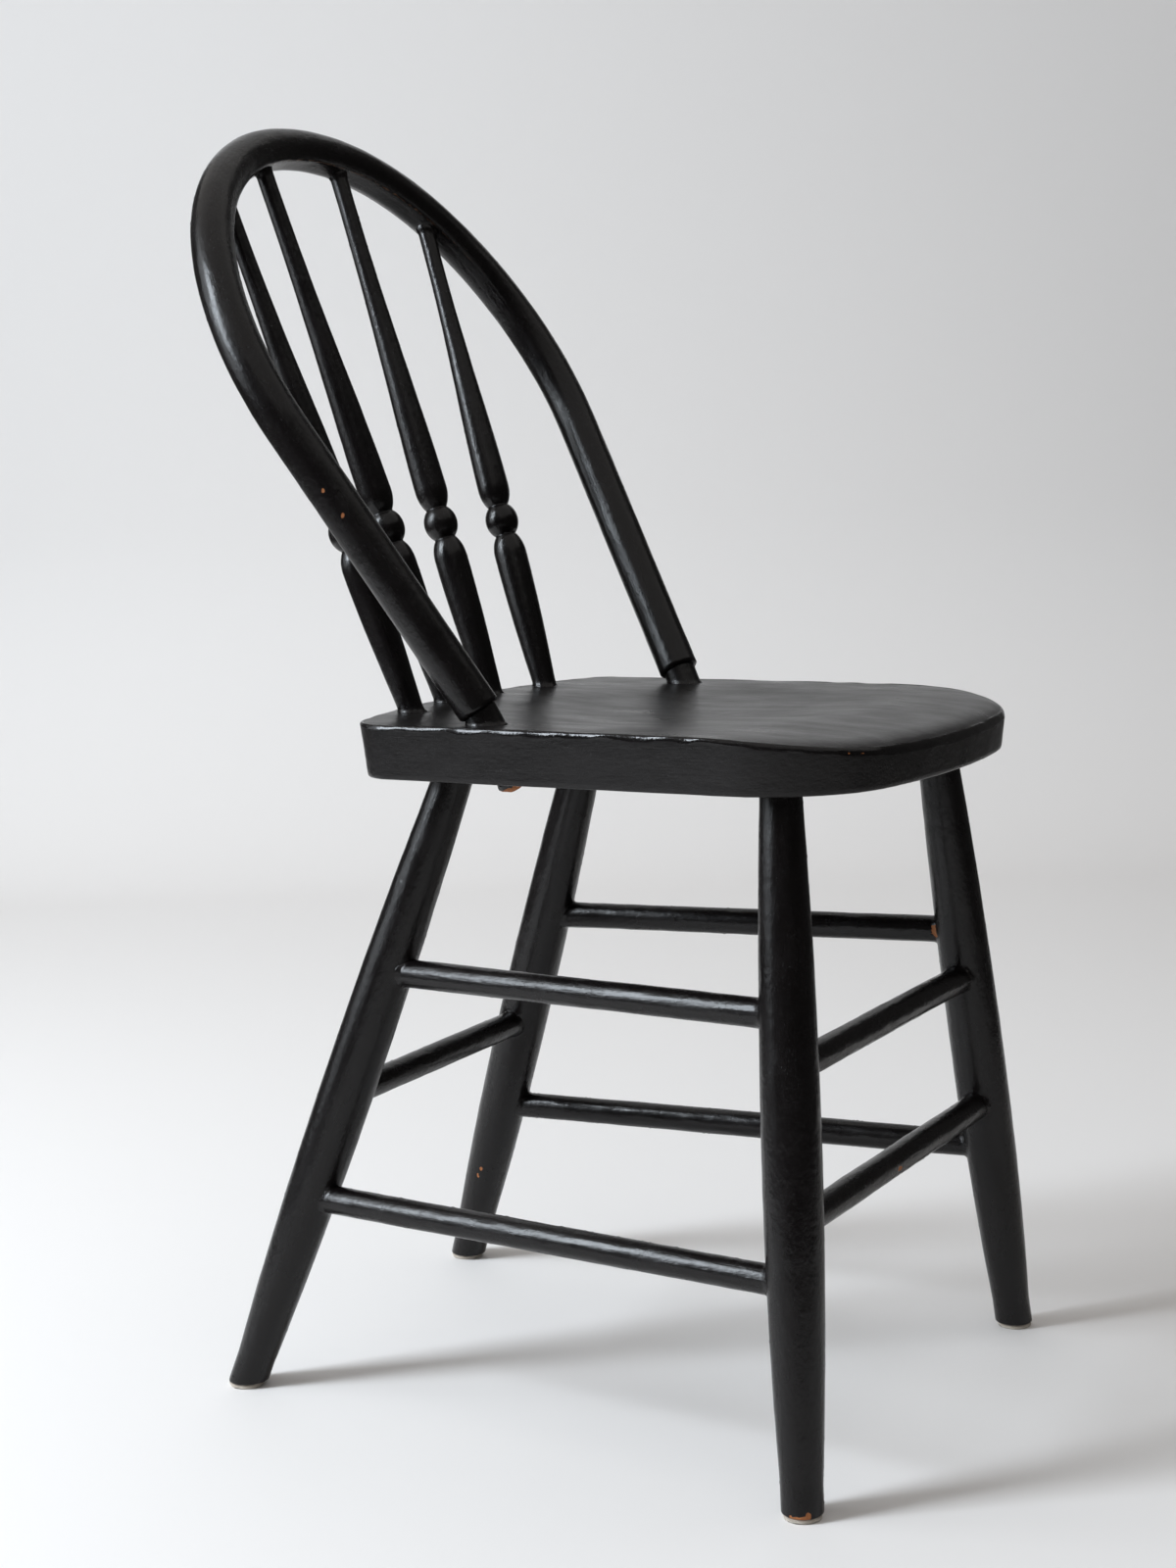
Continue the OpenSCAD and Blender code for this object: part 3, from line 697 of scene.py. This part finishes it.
def make_bow(paint, spindles):
    """The bent bow from shoulder to shoulder, and its two tenons through the seat."""
    n = BOW_SIDES
    places, angles = bow_path(BOW_STEP)
    step = np.linalg.norm(np.diff(places, axis=0), axis=1)
    s = np.concatenate([[0], np.cumsum(step)])
    swell = HAUNCH_SWELL * np.exp(-(((angles - HAUNCH_SWELL_AT) / HAUNCH_SWELL_WIDE) ** 2))
    phi = np.linspace(0, 2 * math.pi, n, endpoint=False)
    from_end = np.minimum(s, s[-1] - s)
    flat = LIMB_FLAT + (BOW_FLAT - LIMB_FLAT) * ramp(from_end, 190 * MM, 330 * MM)
    radius = rounded_ends(bow_section_radius(phi, flat), s, SHOULDER_R)
    out = places + swell[:, None] * np.stack([np.cos(angles), np.sin(angles)], 1)
    local = np.stack([
        (radius * np.cos(phi)).ravel(),
        (radius * np.sin(phi)).ravel(),
        np.repeat(s, n),
    ], 1)

    def place(r):
        across = r * np.cos(phi)
        x = out[:, 0, None] + across * np.cos(angles)[:, None]
        y = out[:, 1, None] + across * np.sin(angles)[:, None]
        return from_bow_plane(x, y, -r * np.sin(phi)).reshape(-1, 3)

    base = place(radius)
    rise = paint_lumps(local, 1.2)
    for spindle in spindles.values():
        rise = rise + collar(spindle.gap(base), local, 0.8, 2.2)
    bare = chipped(base, BOW_CHIPS)
    rise = rise - 0.3 * MM * ramp(bare, -0.05, 0.12)
    points = place(radius + rise.reshape(radius.shape))
    edge = math.pi + math.acos(BOW_FLAT / BOW_R)
    on_edge = np.exp(-(((phi - edge) / 0.13) ** 2))
    other_edge = 0.7 * np.exp(-(((phi - 2 * math.pi + edge) / 0.10) ** 2))
    right_limb = s[-1] - s
    low_limb = ramp(right_limb, 4 * MM, 20 * MM) * (1 - ramp(right_limb, 225 * MM, 270 * MM))
    crown = ramp(from_end, 260 * MM, 380 * MM)
    limb_worn = low_limb[:, None] * on_edge * 0.72
    crown_worn = crown[:, None] * (0.48 * other_edge + 0.60 * on_edge)
    worn = (limb_worn + crown_worn).ravel()
    faces = closed_faces(len(s), n)
    points = np.concatenate([points, from_bow_plane(out[[0, -1], 0], out[[0, -1], 1])])
    layers = {
        "grain": np.concatenate([local, local[[0, -1]]]),
        "bare": np.concatenate([bare, [-1, -1]]),
        "worn": np.concatenate([worn, [0, 0]]),
    }
    for side in (LEFT, RIGHT):
        points, faces, layers = join(points, faces, layers, *bow_tenon(side))
    make_piece("bow_painted", points, faces, paint, "black_paint", layers, ["bow"])


def bow_tenon(side):
    """The tenon below the shoulder, ending ragged and bare under the seat."""
    start_x = side * (BOW_FOOT_X + BOW_SHOULDER * math.cos(LIMB_ANGLE))
    start = from_bow_plane(start_x, BOW_SHOULDER * math.sin(LIMB_ANGLE))
    run = np.array([-side * math.tan(TENON_LEAN), -math.tan(TENON_RAKE), -1.0])
    run = run / np.linalg.norm(run)
    u, v, w = frame_along(start, start + run)
    length = (start[2] - SEAT_BOTTOM + TENON_PROUD) / -w[2]
    n = TENON_SIDES
    theta = np.linspace(0, 2 * math.pi, n, endpoint=False)
    out = np.outer(np.cos(theta), u) + np.outer(np.sin(theta), v)
    inside = np.linspace(-4 * MM, length - 12 * MM, 60)
    end = np.linspace(length - 11.6 * MM, length, 30)
    t = np.concatenate([inside, end])
    base = (start + np.outer(t, w))[:, None, :] + TENON_R * out[None]
    local = np.stack([
        np.tile(TENON_R * np.cos(theta), len(t)),
        np.tile(TENON_R * np.sin(theta), len(t)),
        np.repeat(t, n),
    ], 1) + 5.1 * (1 + side)
    end_t = np.repeat(t, n)
    ragged = 2.6 * MM * value_noise(local * [1, 1, 0], 3 * MM, 51)
    pulled = ramp(end_t, length - 8 * MM, length) * ragged
    rise = paint_lumps(local, 1.2) - 1.1 * MM * ramp(end_t, length - 2 * MM, length)
    rise = rise + collar(seat_top_gap(base.reshape(-1, 3)), local, 0.9, 2.4)
    points = base.reshape(-1, 3) + rise[:, None] * np.repeat(out[None], len(t), 0).reshape(-1, 3)
    points = points - pulled[:, None] * w
    points[:, 2] = np.maximum(points[:, 2], SEAT_BOTTOM - TENON_PROUD - 0.8 * MM)
    bare = ramp(end_t, length - 4.5 * MM, length - 1 * MM) * 1.4 - 0.9
    bare = bare + 0.8 * value_noise(local, 2.4 * MM, 53)
    centres = np.stack([start + t[0] * w, points[-n:].mean(0)])
    layers = {
        "grain": np.concatenate([local, local[[0, -1]]]),
        "bare": np.concatenate([bare, [-1, 1]]),
        "worn": np.zeros(len(points) + 2),
    }
    return np.concatenate([points, centres]), closed_faces(len(t), n), layers


def join(points, faces, layers, more_points, more_faces, more_layers):
    """Two meshes as one."""
    start = len(points)
    faces = faces + [[i + start for i in f] for f in more_faces]
    layers = {key: np.concatenate([layers[key], more_layers[key]]) for key in layers}
    return np.concatenate([points, more_points]), faces, layers


def seat_rings():
    """The seat's rings from the middle of its underside, round its edge, to the middle of its top."""
    low = seat_outline(SEAT_UNDERCUT)
    high = seat_outline(0)
    n = len(high)
    middle = np.array([0, (FRONT_Y + REAR_Y) / 2])
    top_z = seat_height(*high.T, 0)
    rolled = ramp(FRONT_Y + ROLL_L - high[:, 1], 0, 0.6 * ROLL_L)
    uneven = 0.45 + 1.5 * value_noise(np.column_stack([high, top_z]), 9 * MM, 61)
    worn_r = ARRIS_R * (uneven + (1.2 - uneven) * 0.85 * rolled)
    inwards = seat_outline(1.0) - high
    rows, kinds = [], []

    def row(xy, z, kind):
        rows.append(np.column_stack([xy, np.broadcast_to(z, n)]))
        kinds.append(kind)

    inner_low = seat_outline(SEAT_UNDERCUT + 2 * MM)
    for share in np.linspace(0.03, 1, 20):
        row(middle + (inner_low - middle) * share, SEAT_BOTTOM, "under")
    for turn in np.linspace(0.12, 1, 5) * math.pi / 2:
        inset = SEAT_UNDERCUT + SEAT_FOOT_R * (1 - math.sin(turn))
        row(seat_outline(inset), SEAT_BOTTOM + SEAT_FOOT_R * (1 - math.cos(turn)), "side")
    side_low = SEAT_BOTTOM + SEAT_FOOT_R
    for share in np.linspace(0, 1, 27)[1:]:
        z = side_low + (top_z - worn_r - side_low) * share
        lean = (z - SEAT_BOTTOM) / (SEAT_TOP - SEAT_BOTTOM)
        row(low + (high - low) * lean[:, None], z, "side")
    edge = rows[-1][:, :2]
    for turn in np.linspace(0, 1, 9)[1:] * math.pi / 2:
        inset = ARRIS_LEAN * worn_r * (1 - math.cos(turn))
        xy = edge + inset[:, None] * inwards
        row(xy, seat_height(*xy.T, inset) - worn_r * (1 - math.sin(turn)), "arris")
    for extra in np.arange(0.8, 20, 1.1) * MM:
        inset = ARRIS_LEAN * worn_r + extra
        xy = edge + inset[:, None] * inwards
        row(xy, seat_height(*xy.T, inset), "top")
    start = rows[-1][:, :2]
    for share in np.linspace(1, 0.02, 78)[1:]:
        xy = middle + (start - middle) * share
        row(xy, seat_height(*xy.T, FRONT_ROUND_L), "top")
    return rows, kinds


def make_seat(paint, spindles):
    """The plank seat: a leaning side with a rubbed, uneven top edge, rolled front and shallow hollow."""
    rows, kinds = seat_rings()
    n = len(rows[0])
    base = np.concatenate(rows)
    grid = base.reshape(len(rows), n, 3)
    ahead = np.roll(grid, -1, 1) - np.roll(grid, 1, 1)
    upward = np.gradient(grid, axis=0)
    normal = np.cross(ahead, upward).reshape(-1, 3)
    normal = normal / np.maximum(np.linalg.norm(normal, axis=1), 1e-12)[:, None]
    local = base[:, [0, 2, 1]]
    kind = np.repeat(np.array(kinds), n)
    rise = paint_lumps(local, 0.8) * np.where(kind == "side", 1.0, 0.45)
    dents = ramp(value_noise(base, 4.5 * MM, 65), 0.80, 0.97)
    dents = dents * ramp(value_noise(base, 40 * MM, 67), 0.4, 0.7)
    rise = rise - np.where(kind == "top", 0.16 * MM * dents, 0)
    bead = ramp(value_noise(base, 14 * MM, 63), 0.35, 0.75) * 0.35 * MM
    rise = rise + np.where(kind == "arris", bead, 0)
    for spindle in spindles.values():
        near = np.where(kind == "top", spindle.gap(base), 1.0)
        rise = rise + collar(near, local, 0.8, 3.0)
    chips = [((x, y, seat_height(x, y, 0) - 1 * MM), size) for x, y, size in SEAT_CHIPS]
    bare = chipped(base, chips)
    rise = rise - 0.3 * MM * ramp(bare, -0.05, 0.12)
    points = base + normal * rise[:, None]
    worn = np.where(kind == "arris", 0.30, 0.0)
    shine = np.where(kind == "arris", 1.0, 0.0)
    faces = closed_faces(len(rows), n)
    ends = np.stack([rows[0].mean(0), rows[-1].mean(0)])
    ends[1, 2] = seat_height(ends[1, 0], ends[1, 1])
    layers = {
        "grain": np.concatenate([local, ends[:, [0, 2, 1]]]),
        "bare": np.concatenate([bare, [-1, -1]]),
        "worn": np.concatenate([worn, [0, 0]]),
        "shine": np.concatenate([shine, [0, 0]]),
    }
    points = np.concatenate([points, ends])
    make_piece("seat_painted", points, faces, paint, "black_paint", layers, ["seat"])


def make_pads(felt):
    """Four felt pads: flat discs with rounded edges, fuzzy at the edge."""
    for k, corner in enumerate(("front_right", "front_left", "rear_right", "rear_left")):
        low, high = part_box("pad_" + corner)
        middle = np.array([(low.x + high.x) / 2, (low.y + high.y) / 2])
        r = (high.x - low.x) / 2
        n = PAD_SIDES
        theta = np.linspace(0, 2 * math.pi, n, endpoint=False)
        # Each ring's radius and height, and whether it is on the edge
        rows = []
        for share in (0.15, 0.4, 0.65, 0.85, 0.95):
            rows.append((r * share, 0.0, 0))
        for turn in np.linspace(-PAD_EDGE_TURN, PAD_EDGE_TURN, 13):
            a = math.radians(turn)
            up = 0.5 + 0.5 * math.sin(a) / math.sin(math.radians(PAD_EDGE_TURN))
            rows.append((r - PAD_EDGE_R + PAD_EDGE_R * math.cos(a), high.z * up, 1))
        for share in (0.85, 0.6, 0.3, 0.1):
            rows.append((r * share, high.z, 0))
        radius = np.array([q[0] for q in rows])
        z = np.array([q[1] for q in rows])
        edge = np.repeat([float(q[2]) for q in rows], n)
        base = np.stack([
            np.outer(radius, np.cos(theta)).ravel() + middle[0],
            np.outer(radius, np.sin(theta)).ravel() + middle[1],
            np.repeat(z, n),
        ], 1)
        fuzz = (value_noise(base, 1.1 * MM, 71 + k) - 0.6) * 0.7 * MM
        fuzz = fuzz + (value_noise(base, 5 * MM, 75) - 0.6) * 0.8 * MM
        out = np.tile(np.stack([np.cos(theta), np.sin(theta), 0 * theta], 1), (len(rows), 1))
        points = base + out * (fuzz * edge)[:, None]
        total = len(points)
        faces = closed_faces(len(rows), n)
        ends = np.array([[*middle, 0.0], [*middle, high.z]])
        layers = {
            "grain": np.concatenate([base, ends]),
            "bare": np.full(total + 2, -1.0),
            # The edge turns browner towards its top, where the pad meets the foot
            "worn": np.concatenate([edge * (0.35 + 0.65 * np.repeat(z, n) / high.z), [0, 0]]),
        }
        name = "pad_" + corner
        points = np.concatenate([points, ends])
        make_piece(name + "_felt", points, faces, felt, "felt", layers, [name])


# ---------------------------------------------------------------- the stage


def make_camera():
    """The camera stands in front of the chair's right side, a little above the seat."""
    level = math.cos(CAMERA_PITCH)
    ahead = Vector((
        math.cos(CAMERA_YAW) * level,
        math.sin(CAMERA_YAW) * level,
        -math.sin(CAMERA_PITCH),
    ))
    side = Vector((math.sin(CAMERA_YAW), -math.cos(CAMERA_YAW), 0))
    up = side.cross(ahead)
    right = math.cos(CAMERA_ROLL) * side + math.sin(CAMERA_ROLL) * up
    top = -math.sin(CAMERA_ROLL) * side + math.cos(CAMERA_ROLL) * up
    data = bpy.data.cameras.new("camera")
    data.lens = LENS
    data.sensor_width = SENSOR_W
    data.shift_x = SHIFT_X
    data.shift_y = SHIFT_Y
    camera = bpy.data.objects.new("camera", data)
    bpy.context.scene.collection.objects.link(camera)
    turn = Matrix((right, top, -ahead)).transposed().to_4x4()
    camera.matrix_world = Matrix.Translation(CAMERA_PLACE) @ turn
    bpy.context.scene.camera = camera


def make_stage():
    """A pale floor that curves up into a pale wall behind the chair."""
    away = Vector((math.cos(CAMERA_YAW), math.sin(CAMERA_YAW), 0))
    across = Vector((-away.y, away.x, 0))
    # Distances from the chair and heights, from the front of the floor to the top of the wall
    profile = [(STAGE_START, 0.0)]
    for i in range(STAGE_BEND_STEPS + 1):
        a = math.pi / 2 * i / STAGE_BEND_STEPS
        place = WALL_AT - STAGE_BEND + STAGE_BEND * math.sin(a)
        profile.append((place, STAGE_BEND * (1 - math.cos(a))))
    profile.append((WALL_AT, STAGE_H))
    points, faces = [], []
    for d, z in profile:
        for w in (-STAGE_HALF_W, STAGE_HALF_W):
            points.append(away * d + across * w + Vector((0, 0, z)))
    for i in range(len(profile) - 1):
        faces.append((2 * i, 2 * i + 1, 2 * i + 3, 2 * i + 2)[::-1])
    mesh = bpy.data.meshes.new("stage")
    mesh.from_pydata([tuple(p) for p in points], [], faces)
    mesh.polygons.foreach_set("use_smooth", [True] * len(mesh.polygons))
    mesh.materials.append(stage_material())
    stage = bpy.data.objects.new("stage", mesh)
    bpy.context.scene.collection.objects.link(stage)


def make_lamp(name, place, target, width, height, power, colour):
    data = bpy.data.lights.new(name, "AREA")
    data.shape = "RECTANGLE"
    data.size = width
    data.size_y = height
    data.energy = power
    data.color = colour
    lamp = bpy.data.objects.new(name, data)
    bpy.context.scene.collection.objects.link(lamp)
    place, target = Vector(place), Vector(target)
    turn = (target - place).to_track_quat("-Z", "Y").to_matrix().to_4x4()
    lamp.matrix_world = Matrix.Translation(place) @ turn


def make_world():
    world = bpy.data.worlds.new("world")
    bpy.context.scene.world = world
    world.use_nodes = True
    background = world.node_tree.nodes["Background"]
    background.inputs["Color"].default_value = (*WORLD_COLOUR, 1)
    background.inputs["Strength"].default_value = WORLD_STRENGTH


def main():
    bpy.context.scene.view_settings.view_transform = "Standard"
    make_camera()
    make_stage()
    make_world()
    for lamp in LAMPS:
        make_lamp(*lamp)
    paint = paint_material("black_paint", 0.8, 0.19, 0.32, BLACK)
    seat_paint = paint_material("black_paint_seat", 0.9, 0.26, 0.38, SEAT_BLACK)
    felt = felt_material()
    mounts = {m["name"]: m["pos_m"] for m in frame["record"]["mounts"]}
    legs = {name: Turned(name, mounts[name.replace("leg", "foot")]) for name in LEGS}
    stretchers = {name: Turned(name) for name in STRETCHERS}
    spindles = {name: Turned(name) for name in SPINDLES}
    make_seat(seat_paint, spindles)
    make_bow(paint, spindles)
    make_legs(paint, legs, stretchers)
    make_stretchers(paint, legs, stretchers)
    make_spindles(paint, spindles)
    make_pads(felt)


main()
